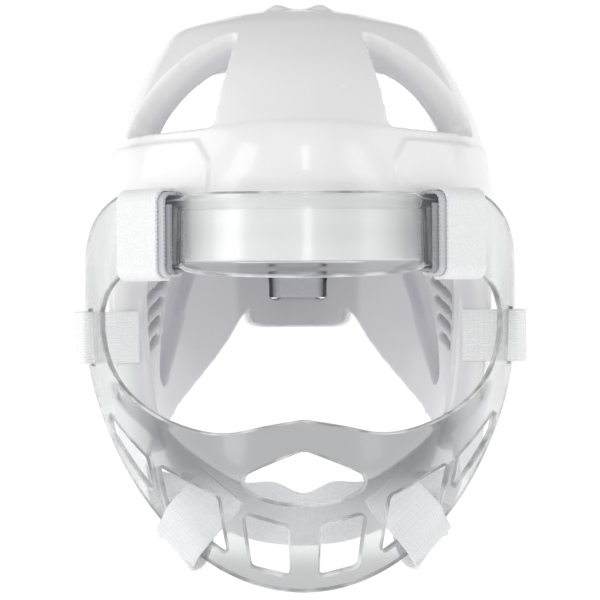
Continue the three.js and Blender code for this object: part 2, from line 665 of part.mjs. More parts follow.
// The rear strap: from wing to wing, threaded through the tongue's two slots.
const rearHeight = (strapSlot.bottom + strapSlot.top) / 2;
const rearRoute = [
  { angle: 138, offset: 1.2 }, { angle: 146, offset: 1.2 }, { angle: 154, offset: 1.2 },
  { angle: 162, offset: 1.3 }, { angle: 167.6, offset: 1.8 }, { angle: 169.6, offset: 1 },
  { angle: 170.6, offset: -1.4 }, { angle: 170.8, offset: -4 }, { angle: 170.8, offset: -13.4 },
  { angle: 171, offset: -16 }, { angle: 172, offset: -18.7 }, { angle: 174.4, offset: -19.4 },
  { angle: 180, offset: -19 },
];

function rearStrap() {
  const onFoam = (side) => rearRoute.map((row) => guardSkin(side * row.angle, rearHeight, row.offset));
  const places = [...onFoam(1), ...onFoam(-1).slice(0, -1).reverse()];
  return ribbon(sized(smooth(places, 72), upright, webbing.width), webbing.thick);
}

// Finishes
const dippedFoam = new THREE.MeshStandardMaterial({ color: 0xeeeef0, roughness: 0.28, metalness: 0 });
const clearPlastic = new THREE.MeshStandardMaterial({
  color: 0xdfe3e3, roughness: 0.06, metalness: 0, transparent: true, opacity: 0.35,
});
const whiteWebbing = new THREE.MeshStandardMaterial({ color: 0xf1f2f4, roughness: 0.9, metalness: 0 });

// Assembly: the head's frame laid back by the rest tilt, then set on the floor about its middle.
const headFrame = new THREE.Group();
headFrame.rotation.x = -radians(restTilt);

function place(name, solid, material) {
  const mesh = new THREE.Mesh(geometryOf(solid), material);
  mesh.name = name;
  headFrame.add(mesh);
}

place('foam_guard', foamGuard(), dippedFoam);
place('face_mask', faceMask(), clearPlastic);
for (const [side, word] of [[-1, 'right'], [1, 'left']]) {
  place(`brow_strap_${word}`, browStrap(side), whiteWebbing);
  place(`cheek_strap_${word}`, cheekStrap(side), whiteWebbing);
  place(`jaw_strap_${word}`, jawStrap(side), whiteWebbing);
}
place('chin_strap', chinStrap(), whiteWebbing);
place('rear_strap', rearStrap(), whiteWebbing);

const headgear = new THREE.Group();
headgear.add(headFrame);
headgear.updateMatrixWorld(true);
const box = new THREE.Box3().setFromObject(headgear, true);
headFrame.position.set(0, -(box.min.y + box.max.y) / 2, -box.min.z);

export default headgear;
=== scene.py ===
# Karate head guard: dipped foam shell, clear face mask and the webbing that ties them together
import json
import math

import bpy
import numpy as np
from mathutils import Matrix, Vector

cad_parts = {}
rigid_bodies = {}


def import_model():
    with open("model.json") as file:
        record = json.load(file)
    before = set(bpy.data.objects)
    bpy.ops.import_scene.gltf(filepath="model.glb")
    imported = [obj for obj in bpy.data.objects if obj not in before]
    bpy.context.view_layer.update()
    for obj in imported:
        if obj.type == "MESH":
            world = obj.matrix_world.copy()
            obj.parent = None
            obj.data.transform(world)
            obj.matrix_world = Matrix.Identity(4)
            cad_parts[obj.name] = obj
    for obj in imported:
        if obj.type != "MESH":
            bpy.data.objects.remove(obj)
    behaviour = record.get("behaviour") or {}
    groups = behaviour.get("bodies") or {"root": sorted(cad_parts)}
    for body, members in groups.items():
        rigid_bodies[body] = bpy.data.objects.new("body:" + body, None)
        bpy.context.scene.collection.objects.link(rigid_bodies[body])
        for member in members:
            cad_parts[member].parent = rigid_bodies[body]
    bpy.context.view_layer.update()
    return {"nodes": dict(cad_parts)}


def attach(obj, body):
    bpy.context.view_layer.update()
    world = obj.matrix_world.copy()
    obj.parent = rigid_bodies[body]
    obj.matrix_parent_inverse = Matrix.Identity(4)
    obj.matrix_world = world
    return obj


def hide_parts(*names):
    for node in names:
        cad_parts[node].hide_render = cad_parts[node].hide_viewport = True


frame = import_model()
bpy.ops.object.select_all(action="DESELECT")

# The head's own frame, in mm: x to the wearer's left, -y forwards, z up from eye height.
# It lies back by tilt, with its middle at y, z of the shared frame.
headFrame = {"tilt": 26.8, "y": 9.88, "z": 70.04}
lean = math.radians(headFrame["tilt"])


def toShared(points):
    x, y, z = np.asarray(points, float).T
    turnedY = y * math.cos(lean) + z * math.sin(lean) + headFrame["y"]
    turnedZ = -y * math.sin(lean) + z * math.cos(lean) + headFrame["z"]
    return np.stack([x, turnedY, turnedZ], 1) / 1000


def toHead(points):
    x, y, z = (np.asarray(points, float) * 1000).T
    y = y - headFrame["y"]
    z = z - headFrame["z"]
    return np.stack([x, y * math.cos(lean) - z * math.sin(lean), y * math.sin(lean) + z * math.cos(lean)], 1)


# a smooth curve through the rows of a short table
def curveThrough(keys, values):
    keys = np.array(keys, float)
    values = np.array(values, float)
    ahead = np.minimum(np.arange(len(keys)) + 1, len(keys) - 1)
    behind = np.maximum(np.arange(len(keys)) - 1, 0)
    slopes = (values[ahead] - values[behind]) / (keys[ahead] - keys[behind])

    def at(x):
        x = np.asarray(x, float)
        i = np.clip(np.searchsorted(keys, x, side="right") - 1, 0, len(keys) - 2)
        step = keys[i + 1] - keys[i]
        t = np.clip((x - keys[i]) / step, 0, 1)
        pull = slopes[i] * t * (1 - t) ** 2 - slopes[i + 1] * t * t * (1 - t)
        y = values[i] + (values[i + 1] - values[i]) * t * t * (3 - 2 * t) + pull * step
        return y + slopes[0] * np.minimum(x - keys[0], 0) + slopes[-1] * np.maximum(x - keys[-1], 0)

    return at


def ease(x, none, full):
    t = np.clip((np.asarray(x, float) - none) / (full - none), 0, 1)
    return t * t * (3 - 2 * t)


# a rounded route through a few points, as a strap would take it
def routeThrough(points, count):
    points = np.array(points, float)
    padded = np.vstack([2 * points[0] - points[1], points, 2 * points[-1] - points[-2]])
    route = []
    for share in np.linspace(0, len(points) - 1, count + 1):
        i = min(int(share), len(points) - 2)
        t = share - i
        a, b, c, d = padded[i:i + 4]
        ab, bc, cd = (max(np.linalg.norm(q - p), 1e-4) ** 0.5 for p, q in ((a, b), (b, c), (c, d)))
        leave = ((b - a) / ab - (c - a) / (ab + bc) + (c - b) / bc) * bc
        reach = ((c - b) / bc - (d - b) / (bc + cd) + (d - c) / cd) * bc
        route.append(b + leave * t + (3 * (c - b) - 2 * leave - reach) * t ** 2
                     + (2 * (b - c) + leave + reach) * t ** 3)
    return np.array(route)


# angle round from the face, the same on both sides
def angleOf(points):
    return np.degrees(np.arctan2(np.abs(points[:, 0]), -points[:, 1]))


# distance from the middle of a patch, where 1 is its edge
def patchAway(points, angle, reach, z, tall):
    return np.maximum(np.abs(angleOf(points) - angle) / reach, np.abs(points[:, 2] - z) / tall)


# length from the start to each point of a route
def lengthAlong(route):
    return np.r_[0, np.cumsum(np.linalg.norm(np.diff(route, axis=0), axis=1))]


def unit(vector):
    return vector / np.linalg.norm(vector)


def pickOnly(piece):
    bpy.ops.object.select_all(action="DESELECT")
    piece.select_set(True)
    bpy.context.view_layer.objects.active = piece


def applyModifier(piece, kind, **settings):
    pickOnly(piece)
    bpy.ops.object.modifier_add(type=kind)
    modifier = piece.modifiers[-1]
    for key, value in settings.items():
        setattr(modifier, key, value)
    bpy.ops.object.modifier_apply(modifier=modifier.name)


def pointsOf(piece):
    flat = np.empty(len(piece.data.vertices) * 3)
    piece.data.vertices.foreach_get("co", flat)
    return flat.reshape(-1, 3)


def movePoints(piece, points):
    piece.data.vertices.foreach_set("co", np.asarray(points, float).ravel())
    piece.data.update()


def addAttribute(piece, name, values):
    layer = piece.data.attributes.new(name, "FLOAT", "POINT")
    layer.data.foreach_set("value", np.asarray(values, np.float32))


def finishPiece(piece, name, nodes, material, sharpAngle):
    piece.name = name
    piece.data.name = name
    piece.data.materials.clear()
    piece.data.materials.append(material)
    pickOnly(piece)
    bpy.ops.object.shade_smooth_by_angle(angle=math.radians(sharpAngle))
    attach(piece, "root")
    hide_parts(*nodes)
    print("made", name, len(piece.data.polygons), "faces")


# materials

def newMaterial(name):
    material = bpy.data.materials.new(name)
    material.use_nodes = True
    tree = material.node_tree
    return material, tree, tree.nodes["Principled BSDF"]


def addNode(tree, kind, links=(), **settings):
    node = tree.nodes.new(kind)
    for key, value in settings.items():
        if key in node.inputs:
            node.inputs[key].default_value = value
        else:
            setattr(node, key, value)
    for socket, source in links:
        tree.links.new(source, node.inputs[socket])
    return node


def setInputs(node, values):
    for name, value in values.items():
        node.inputs[name].default_value = value


def noiseNode(tree, place, scale, detail=2.0):
    return addNode(tree, "ShaderNodeTexNoise", [("Vector", place)], Scale=scale, Detail=detail).outputs["Fac"]


def mathNode(tree, operation, first, second=0.0):
    node = addNode(tree, "ShaderNodeMath", operation=operation)
    for index, value in enumerate((first, second)):
        if isinstance(value, (int, float)):
            node.inputs[index].default_value = value
        else:
            tree.links.new(value, node.inputs[index])
    return node.outputs[0]


def rampNode(tree, factor, stops):
    node = addNode(tree, "ShaderNodeValToRGB", [("Fac", factor)])
    elements = node.color_ramp.elements
    while len(elements) < len(stops):
        elements.new(0.5)
    for element, (place, color) in zip(elements, stops):
        element.position = place
        element.color = (*color, 1)
    return node.outputs["Color"]


# a colour darkened by painted shade where an attribute on the points says so
def dimmedBy(tree, color, attribute, stops):
    amount = addNode(tree, "ShaderNodeAttribute", attribute_name=attribute).outputs["Fac"]
    both = addNode(tree, "ShaderNodeMix", data_type="RGBA", blend_type="MULTIPLY")
    both.inputs["Factor"].default_value = 1.0
    tree.links.new(color, both.inputs[6])
    tree.links.new(rampNode(tree, amount, stops), both.inputs[7])
    return both.outputs[2]


# a roughness that wanders between two values
def wanderingGloss(tree, skin, factor, gloss):
    node = addNode(tree, "ShaderNodeMapRange", [("Value", factor)])
    setInputs(node, {"To Min": gloss[0], "To Max": gloss[1]})
    tree.links.new(node.outputs["Result"], skin.inputs["Roughness"])


def bumpSkin(tree, skin, height, strength, depth):
    node = addNode(tree, "ShaderNodeBump", [("Height", height)], Strength=strength, Distance=depth)
    tree.links.new(node.outputs["Normal"], skin.inputs["Normal"])


# lining and shade are greys for the inside: partly a greyer lining, partly painted shade, the darkest painted
# shade on the tongue
dipLook = {"pale": (0.93, 0.93, 0.93), "dull": (0.9, 0.9, 0.9), "liningAndShade": (0.86, 0.86, 0.89),
           "shade": (0.7, 0.7, 0.73), "cloud": 16, "streak": 60, "gloss": (0.2, 0.3), "peel": 420, "sag": 45,
           "sagShare": 2.0, "strength": 0.4, "depth": 0.00004}


def dippedFoam():
    material, tree, skin = newMaterial("dippedFoam")
    place = addNode(tree, "ShaderNodeTexCoord").outputs["Object"]
    cloud = noiseNode(tree, place, dipLook["cloud"], 3.0)
    color = rampNode(tree, cloud, [(0.3, dipLook["dull"]), (0.62, dipLook["pale"])])
    # the lining inside is a shade greyer than the dipped outside, partly its own colour and partly painted shade
    # of the hollow inside; the darker grey on the tongue is painted shade
    color = dimmedBy(tree, color, "liningAndShade", [(0.0, (1, 1, 1)), (0.8, dipLook["liningAndShade"]), (1.0, dipLook["shade"])])
    tree.links.new(color, skin.inputs["Base Color"])
    wanderingGloss(tree, skin, noiseNode(tree, place, dipLook["streak"]), dipLook["gloss"])
    peel = noiseNode(tree, place, dipLook["peel"], 1.0)
    sag = noiseNode(tree, place, dipLook["sag"], 1.0)
    height = mathNode(tree, "ADD", peel, mathNode(tree, "MULTIPLY", sag, dipLook["sagShare"]))
    bumpSkin(tree, skin, height, dipLook["strength"], dipLook["depth"])
    setInputs(skin, {"Coat Weight": 0.5, "Coat Roughness": 0.07})
    return material


# the darker colour is painted shade on the clear plastic, standing in for the dim surroundings seen through it;
# the pale one is the plastic's own
clearLook = {"paintedShade": (0.45, 0.455, 0.46), "clear": (0.965, 0.97, 0.97), "haze": 40, "gloss": (0.07, 0.13),
             "wave": 35, "strength": 0.2, "depth": 0.0004}


def clearPlastic():
    material, tree, skin = newMaterial("clearPlastic")
    place = addNode(tree, "ShaderNodeTexCoord").outputs["Object"]
    # an attribute on the points says how much painted shade the plastic gets
    paintedShade = addNode(tree, "ShaderNodeAttribute", attribute_name="paintedShade").outputs["Fac"]
    color = rampNode(tree, paintedShade, [(0.0, clearLook["clear"]), (1.0, clearLook["paintedShade"])])
    tree.links.new(color, skin.inputs["Base Color"])
    wanderingGloss(tree, skin, noiseNode(tree, place, clearLook["haze"], 3.0), clearLook["gloss"])
    wave = noiseNode(tree, place, clearLook["wave"], 1.0)
    bumpSkin(tree, skin, wave, clearLook["strength"], clearLook["depth"])
    setInputs(skin, {"Transmission Weight": 1.0, "IOR": 1.25, "Specular IOR Level": 0.1, "Coat Weight": 0.4,
                     "Coat Roughness": 0.2})
    return material


# the trimmed edges of the plastic: a little frosted, and patchily greyed with painted shade that stands in for
# the dark lines along the edges of clear plastic
rimLook = {"dull": (0.4, 0.405, 0.41), "pale": (0.82, 0.825, 0.83), "haze": 70, "strength": 0.15, "depth": 0.0003}


def frostedRimAndShade():
    material, tree, skin = newMaterial("frostedRimAndShade")
    place = addNode(tree, "ShaderNodeTexCoord").outputs["Object"]
    haze = noiseNode(tree, place, rimLook["haze"])
    color = rampNode(tree, haze, [(0.4, rimLook["dull"]), (0.6, rimLook["pale"])])
    tree.links.new(color, skin.inputs["Base Color"])
    bumpSkin(tree, skin, haze, rimLook["strength"], rimLook["depth"])
    setInputs(skin, {"Roughness": 0.12, "Transmission Weight": 0.4, "IOR": 1.4, "Coat Weight": 0.8,
                     "Coat Roughness": 0.05})
    return material


# painted shade on the straps: dimmer where they are tucked in under other layers, a little dimmer all over the
# jaw and chin straps, and dimmer where the rear strap crosses the tongue
strapShadeStops = [(0.0, (1, 1, 1)), (0.5, (0.66, 0.665, 0.7)), (1.0, (0.34, 0.345, 0.37))]
webLook = {"thread": (0.97, 0.972, 0.975), "gap": (0.88, 0.885, 0.895), "pitch": 0.00125, "weft": 0.0026,
           "sway": 0.0002, "knot": 0.25, "strength": 0.7, "depth": 0.00028}


def whiteWebbing():
    material, tree, skin = newMaterial("whiteWebbing")
    place = addNode(tree, "ShaderNodeTexCoord").outputs["UV"]
    along = addNode(tree, "ShaderNodeSeparateXYZ", [("Vector", place)])
    turn = 2 * math.pi
    pick = mathNode(tree, "SINE", mathNode(tree, "MULTIPLY", along.outputs["X"], turn / webLook["weft"]))
    across = mathNode(tree, "ADD", along.outputs["Y"], mathNode(tree, "MULTIPLY", pick, webLook["sway"]))
    rib = mathNode(tree, "SINE", mathNode(tree, "MULTIPLY", across, turn / webLook["pitch"]))
    knot = mathNode(tree, "ADD", mathNode(tree, "MULTIPLY", pick, webLook["knot"]), 1 - webLook["knot"])
    thread = mathNode(tree, "MULTIPLY", rib, knot)
    height = mathNode(tree, "ADD", mathNode(tree, "MULTIPLY", thread, 0.5), 0.5)
    color = rampNode(tree, height, [(0.05, webLook["gap"]), (0.6, webLook["thread"])])
    color = dimmedBy(tree, color, "strapShade", strapShadeStops)
    tree.links.new(color, skin.inputs["Base Color"])
    bumpSkin(tree, skin, height, webLook["strength"], webLook["depth"])
    setInputs(skin, {"Roughness": 0.85, "Sheen Weight": 0.25})
    return material


# the hook-and-loop straps' fuzzy face
pileLook = {"dull": (0.84, 0.85, 0.86), "pale": (0.94, 0.945, 0.95), "fuzz": 1300, "strength": 0.6,
            "depth": 0.0005}


def loopPile():
    material, tree, skin = newMaterial("loopPile")
    place = addNode(tree, "ShaderNodeTexCoord").outputs["Object"]
    fuzz = noiseNode(tree, place, pileLook["fuzz"], 3.0)
    color = rampNode(tree, fuzz, [(0.3, pileLook["dull"]), (0.6, pileLook["pale"])])
    color = dimmedBy(tree, color, "strapShade", strapShadeStops)
    tree.links.new(color, skin.inputs["Base Color"])
    bumpSkin(tree, skin, fuzz, pileLook["strength"], pileLook["depth"])
    setInputs(skin, {"Roughness": 0.95, "Sheen Weight": 0.4})
    return material


foamSkin = dippedFoam()
maskPlastic = clearPlastic()
maskRim = frostedRimAndShade()
webbing = whiteWebbing()
pile = loopPile()
print("materials ready")

# foam guard: the solid's rough form, softened all over as the dip leaves it

guard = {
    "voxel": 0.0012, "softening": 40, "evening": 62, "settling": 3, "triangles": 195000,
    "weld": 0.00001, "sharpAngle": 180,
    # z, half width, front, back, wall and drop from the outer skin to the inner one
    "levels": [
        (-112, 76, 88, 92, 17, 0), (-75, 86, 95, 100, 17, 0), (-40, 92.5, 99, 106, 17, 0),
        (-10, 95, 100, 110, 17, 0), (20, 95.5, 100, 112, 17, 0), (46, 95.2, 100.5, 112, 17, 0),
        (58, 94, 102.5, 111, 17, 0.5), (77, 90.8, 100, 107, 16, 2), (92, 85.8, 92.5, 102, 15.5, 4.5),
        (106, 79.1, 83, 94, 15, 7), (114, 74.5, 75.3, 88.5, 14, 9), (122, 69.6, 65.6, 82, 13, 11),
        (130, 64.4, 53.3, 72.5, 11.5, 13.4), (134, 58.4, 45.8, 65, 10, 14.6), (139, 40.5, 34.3, 51, 7, 16),
        (143, 21.5, 18, 27, 3, 17),
    ],
    # temple pads: angles from the face, heights, corner, how proud and how soft the edge
    "pad": {"from": 26.5, "to": 112, "fade": 16, "low": 47, "high": 73, "perDegree": 1.7, "corner": 5,
            "chamfer": (7.5, 10), "proud": 1.35, "edge": 1.8},
    # the crown panel lies a little behind the brow band, with a crease between them
    "crease": {"z": 80.8, "sag": 2.2, "sagAt": 25, "deep": 0.6, "edge": 2.4, "goneAt": 104, "to": 40, "fade": 10},
    # the wings' lower edges, evened out more: angle, its reach, z, its reach
    "wingEdge": (142, 22, -37, 34), "wingFade": (1.0, 0.8),
    # places that soften less: angle, its reach, z, its reach, share kept
    "crisp": [(108, 15, -7, 24, 0.25), (170.8, 5, 14, 20, 0.3), (159.6, 3, 15, 45, 0.5), (24.5, 5, 79, 8, 0.3)],
    "crispFade": (0.9, 1.2),
    # points this near a true curve are brought onto it: distance and z, each from none to full
    "snapOuter": ((2.0, 1.1), (137, 132)), "snapInner": ((1.3, 0.6), (118, 112)),
    # the greyer lining with its painted shade starts this deep in the wall, deeper high up, and the tongue gets
    # the most painted shade; each from none to full
    "liningAndShade": {"start": 0.2, "deeper": 0.27, "deeperZ": (50, 75), "fade": 0.37, "grey": 0.8, "tongueShade": 0.2,
               "tongueAngle": (157, 161), "tongueZ": (45, 30), "roofZ": (134, 129), "leastWall": 3},
}
levelZ, levelHalf, levelFront, levelBack, levelWall, levelDrop = np.array(guard["levels"]).T
guardHalf = curveThrough(levelZ, levelHalf)
guardFront = curveThrough(levelZ, levelFront)
guardBack = curveThrough(levelZ, levelBack)


def guardSkin(angle, z, offset=0.0):
    angle = np.radians(np.asarray(angle, float))
    depth = np.where(np.cos(angle) > 0, guardFront(z), guardBack(z))
    x = (guardHalf(z) + offset) * np.sin(angle)
    y = -(depth + offset) * np.cos(angle)
    return np.stack(np.broadcast_arrays(x, y, np.asarray(z, float)), -1)


# how far each point lies outside an oval skin, and which way is out
def offSkin(points, half, front, back):
    x, y, z = points.T
    depthAt = lambda level: np.where(y < 0, front(level), back(level))
    a, b = half(z), depthAt(z)
    ratio = np.hypot(x / a, y / b) + 1e-9
    aSlope = half(z + 0.5) - half(z - 0.5)
    bSlope = depthAt(z + 0.5) - depthAt(z - 0.5)
    lift = -(x * x * aSlope / a ** 3 + y * y * bSlope / b ** 3)
    steep = np.stack([x / a ** 2, y / b ** 2, lift], 1) / ratio[:, None]
    size = np.linalg.norm(steep, axis=1) + 1e-9
    return (ratio - 1) / size, steep / size[:, None]


# height of the temple pads above the outer skin
def padHeight(angle, z):
    pad = guard["pad"]
    place = (angle - pad["from"]) * pad["perDegree"]
    wide = (pad["to"] - pad["from"]) * pad["perDegree"] / 2
    tall = (pad["high"] - pad["low"]) / 2
    along = np.abs(place - wide) - wide + pad["corner"]
    up = np.abs(z - pad["low"] - tall) - tall + pad["corner"]
    outside = np.hypot(np.maximum(along, 0), np.maximum(up, 0)) + np.minimum(np.maximum(along, up), 0)
    outside = outside - pad["corner"]
    # its upper front corner is cut off at a slant
    across, down = pad["chamfer"]
    slant = (z - pad["high"]) * across - place * down + across * down
    outside = np.maximum(outside, slant / math.hypot(across, down))
    rise = ease(outside, pad["edge"] / 2, -pad["edge"] / 2)
    return pad["proud"] * rise * ease(angle, pad["to"], pad["to"] - pad["fade"])


# depth of the crown panel below the outer skin
def panelDip(angle, z):
    crease = guard["crease"]
    line = crease["z"] - crease["sag"] * (angle / crease["sagAt"]) ** 2
    dip = ease(z - line, -crease["edge"] / 2, crease["edge"] / 2) * ease(z, crease["goneAt"], crease["z"])
    return crease["deep"] * dip * ease(angle, crease["to"], crease["to"] - crease["fade"])


def makeGuard():
    pickOnly(frame["nodes"]["foam_guard"])
    bpy.ops.object.duplicate()
    piece = bpy.context.object
    bpy.ops.object.parent_clear(type="CLEAR_KEEP_TRANSFORM")
    bpy.ops.object.mode_set(mode="EDIT")
    bpy.ops.mesh.select_all(action="SELECT")
    bpy.ops.mesh.remove_doubles(threshold=guard["weld"])
    bpy.ops.object.mode_set(mode="OBJECT")
    applyModifier(piece, "REMESH", mode="VOXEL", voxel_size=guard["voxel"])

    points = toHead(pointsOf(piece))
    softness = np.ones(len(points))
    for *patch, kept in guard["crisp"]:
        fade = ease(patchAway(points, *patch), *guard["crispFade"])
        softness = np.minimum(softness, kept + (1 - kept) * fade)
    evened = ease(patchAway(points, *guard["wingEdge"]), *guard["wingFade"])
    for name, weights in (("softness", softness), ("evened", evened)):
        group = piece.vertex_groups.new(name=name)
        for index in np.flatnonzero(weights):
            group.add([int(index)], weights[index], "REPLACE")
    applyModifier(piece, "SMOOTH", factor=0.5, iterations=guard["softening"], vertex_group="softness")
    applyModifier(piece, "SMOOTH", factor=0.5, iterations=guard["evening"], vertex_group="evened")

    # bring the broad faces back onto their true curves
    points = toHead(pointsOf(piece))
    innerZ = levelZ - levelDrop
    innerSkin = [curveThrough(innerZ, levelHalf - levelWall), curveThrough(innerZ, levelFront - levelWall),
                 curveThrough(innerZ, levelBack - levelWall)]
    off, out = offSkin(points, guardHalf, guardFront, guardBack)
    z = points[:, 2]
    depth = np.where(points[:, 1] < 0, guardFront(z), guardBack(z))
    angle = np.degrees(np.arctan2(np.abs(points[:, 0] / guardHalf(z)), -points[:, 1] / depth))
    off = off - padHeight(angle, z) + panelDip(angle, z)
    close, level = guard["snapOuter"]
    points = points - out * (off * ease(np.abs(off), *close) * ease(z, *level))[:, None]
    off, out = offSkin(points, *innerSkin)
    close, level = guard["snapInner"]
    points = points - out * (off * ease(np.abs(off), *close) * ease(points[:, 2], *level))[:, None]
    movePoints(piece, toShared(points))
    applyModifier(piece, "SMOOTH", factor=0.5, iterations=guard["settling"])
    applyModifier(piece, "DECIMATE", ratio=min(guard["triangles"] / (2 * len(piece.data.polygons)), 1))

    # how far each point lies towards the lining, which gets its greyer colour and painted shade, the most painted
    # shade on the tongue
    liningAndShade = guard["liningAndShade"]
    points = toHead(pointsOf(piece))
    z = points[:, 2]
    off, out = offSkin(points, guardHalf, guardFront, guardBack)
    sunk = -off / np.maximum(curveThrough(levelZ, levelWall)(z), liningAndShade["leastWall"])
    start = liningAndShade["start"] + liningAndShade["deeper"] * ease(z, *liningAndShade["deeperZ"])
    tongue = ease(angleOf(points), *liningAndShade["tongueAngle"]) * ease(z, *liningAndShade["tongueZ"])
    grey = ease(sunk, start, start + liningAndShade["fade"]) * (liningAndShade["grey"] + liningAndShade["tongueShade"] * tongue)
    addAttribute(piece, "liningAndShade", grey * ease(z, *liningAndShade["roofZ"]))
    finishPiece(piece, "foamGuard", ["foam_guard"], foamSkin, guard["sharpAngle"])


makeGuard()

# face mask: a flat plate with its openings cut out, then bent onto the mask's form

mask = {
    "wall": 2.8, "perDegree": 1.85, "cell": 4, "fineCell": 1.3, "armEnd": 97, "tipRound": 3, "edgeRound": 1.1,
    "outlineSteps": 240, "eyeSteps": 120, "noseSteps": 40, "cornerSteps": 6, "edgeSteps": 3, "cutZ": (-130, 50),
    "weld": 0.00001, "weldCuts": 0.00003, "flatFace": 0.99, "sharpAngle": 60,
    # z, half width, front
    "levels": [
        (-140, 69, 98), (-131, 74, 104), (-118, 81, 111), (-103, 87.3, 116), (-86, 93.3, 120.5),
        (-68, 98.5, 122.5), (-50, 102.7, 121.5), (-30, 105.4, 118.5), (-10, 106.5, 114.5), (8, 106.8, 110.5),
        (12, 106.8, 109.7), (17, 106.8, 108.8), (41, 105.7, 107), (46, 105.3, 107), (58, 104.3, 107),
    ],
    "bar": {"height": 3.6, "fullTo": 30, "goneAt": 34, "low": 12, "lowFull": 17, "highFull": 41, "high": 46},
    # edges as angle from the nose, z
    "top": [(0, 48.5), (29.5, 48.5), (31.5, 46.4), (48, 46.4), (50.5, 49.8), (54, 49.6), (60, 46.5), (66, 42),
            (72, 36.5), (78, 29.5), (84, 22), (90, 14), (94, 7), (97, -1)],
    "bottom": [(0, -131), (10, -129.8), (21, -126), (34, -117), (48.5, -100), (56, -87), (63.5, -70.5), (73, -46),
               (80, -32), (90, -24), (97, -13)],
    "eyeTop": [(0, 10), (18, 11), (29.5, 12.6), (31.5, 14.9), (48, 14.9), (50.5, 12.4), (54, 10), (60, 2.5),
               (63, -5)],
    "eyeBottom": [(0, -52), (10, -55), (18, -58), (24, -58.3), (32, -56), (41, -51), (51, -42), (57, -33.5),
                  (61, -24), (63, -14.5)],
    "noseTop": [(0, -66), (1.5, -66.8), (8, -71.2), (14, -75.6), (15.8, -77.6), (16.4, -80)],
    "noseBottom": [(0, -89.5), (5, -89.1), (10, -87.6), (14, -85), (15.8, -83), (16.4, -81)],
    # from, to, top at both, bottom at both
    "windows": [(4.9, 17.3, -100, -95, -122.5, -118.5), (24.7, 43.5, -87.8, -74.8, -113.5, -95),
                (47.5, 64, -72, -52, -88, -62)],
    "windowCorner": 2.6,
    "slot": (69.6, 73.8, -4.2, -4.2, -30.8, -30.8), "slotCorner": 1.2,
    # z and how much painted shade the plastic gets there, standing in for the dim surroundings seen through it,
    # fading out round the sides: angle from none to full
    "paintedShade": [(-131, 0.9), (-118, 0.8), (-108, 0.28), (-92, 0.28), (-82, 0.75), (-74, 1), (-55, 1), (0, 0.5),
              (8, 0.3), (12, 0.05), (17, 0.1), (30, 0.25), (41, 0.1), (50, 0)],
    "paintedShadeAngle": (66, 30),
    # the least painted shade anywhere and the arms' own, with their angle and z from none to full
    "armShade": (0.2, 0.48), "armAngle": (54, 64), "armZ": (-62, -46),
}
maskZ, maskHalfs, maskFronts = np.array(mask["levels"], float).T
maskHalf = curveThrough(maskZ, maskHalfs)
maskFront = curveThrough(maskZ, maskFronts)


def barBulge(angle, z):
    bar = mask["bar"]
    return (bar["height"] * ease(np.abs(angle), bar["goneAt"], bar["fullTo"])
            * ease(z, bar["low"], bar["lowFull"]) * ease(z, bar["high"], bar["highFull"]))


def maskSkin(angle, z, offset=0.0, withBar=False):
    def face(a, level):
        bulge = barBulge(a, level) if withBar else 0.0
        turn = np.radians(a)
        return np.stack(np.broadcast_arrays((maskHalf(level) + bulge) * np.sin(turn),
                                            -(maskFront(level) + bulge) * np.cos(turn), level), -1)

    angle = np.asarray(angle, float)
    z = np.asarray(z, float)
    out = np.cross(face(angle + 0.5, z) - face(angle - 0.5, z), face(angle, z + 0.5) - face(angle, z - 0.5))
    out /= np.linalg.norm(out, axis=-1, keepdims=True)
    return face(angle, z) + out * np.asarray(offset, float)[..., None]


def edgeCurve(rows):
    keys, values = zip(*rows)
    return curveThrough(keys, values)


# the outline between a lower and an upper edge, out to an angle on both sides
def outlineBetween(low, high, reach, count):
    angles = reach * np.sin(np.linspace(-math.pi / 2, math.pi / 2, count))
    upper = [(a, high(abs(a))) for a in angles]
    lower = [(a, low(abs(a))) for a in angles[::-1]]
    return upper + lower


# four corners with a rounding, as angle and z
def roundedWindow(window, corner, side):
    start, end, topStart, topEnd, bottomStart, bottomEnd = window
    scale = np.array([mask["perDegree"], 1.0])
    corners = np.array([(start, bottomStart), (end, bottomEnd), (end, topEnd), (start, topStart)]) * scale
    loop = []
    for i in range(4):
        here = corners[i]
        back = unit(corners[i - 1] - here)
        on = unit(corners[(i + 1) % 4] - here)
        cut = corner / math.tan(math.acos(np.dot(back, on)) / 2)
        for t in np.linspace(0, 1, mask["cornerSteps"]):
            loop.append(here + back * cut * (1 - t) ** 2 + on * cut * t ** 2)
    return [(side * x / scale[0], z) for x, z in loop]


# a flat plate with round edges, from its outline and the outlines of its holes
def addPlate(loops):
    rim = mask["edgeRound"] / 1000
    curve = bpy.data.curves.new("plate", "CURVE")
    curve.dimensions = "2D"
    curve.fill_mode = "BOTH"
    curve.bevel_depth = rim
    curve.bevel_resolution = mask["edgeSteps"]
    curve.extrude = mask["wall"] / 2000 - rim
    curve.offset = -rim
    for loop in loops:
        spline = curve.splines.new("POLY")
        spline.points.add(len(loop) - 1)
        for point, (angle, z) in zip(spline.points, loop):
            point.co = (angle * mask["perDegree"] / 1000, z / 1000, 0, 1)
        spline.use_cyclic_u = True
    plate = bpy.data.objects.new("plate", curve)
    bpy.context.collection.objects.link(plate)
    pickOnly(plate)
    bpy.ops.object.convert(target="MESH")
    return bpy.context.object


# how much painted shade the clear plastic gets: most under the eyes, less along the arms
def paintedShadeAt(angle, z):
    angle = np.abs(angle)
    front = ease(angle, *mask["paintedShadeAngle"]) * edgeCurve(mask["paintedShade"])(z)
    least, most = mask["armShade"]
    arm = least + (most - least) * ease(angle, *mask["armAngle"]) * ease(z, *mask["armZ"])
    return np.maximum(front, arm)


